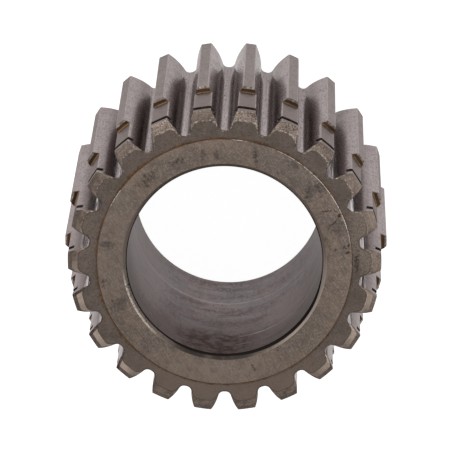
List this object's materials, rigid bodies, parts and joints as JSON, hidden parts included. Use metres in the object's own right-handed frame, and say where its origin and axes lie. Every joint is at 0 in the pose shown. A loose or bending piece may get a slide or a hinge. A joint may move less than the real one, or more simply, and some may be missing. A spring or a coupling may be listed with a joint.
{
  "type": "sun gear",
  "caption": "Straight-toothed steel sun gear with a plain through bore, tooth tips stepped down over the front end, and a groove across them for a retaining ring.",
  "frame": {"origin": "centre of the bore on the flat back face that the gear stands on", "axes": "+Z along the bore towards the front end with the raised ring face and the grooved tooth tips; a tooth space lies on +Y"},
  "size_m": [0.0978, 0.0972, 0.0768],
  "materials": {
    "gear_steel": "ground flanks and ends, worn, with brown oil stain and light rust"
  },
  "bodies": {
    "root": {"sun_gear": "gear_steel"}
  },
  "joints": []
}
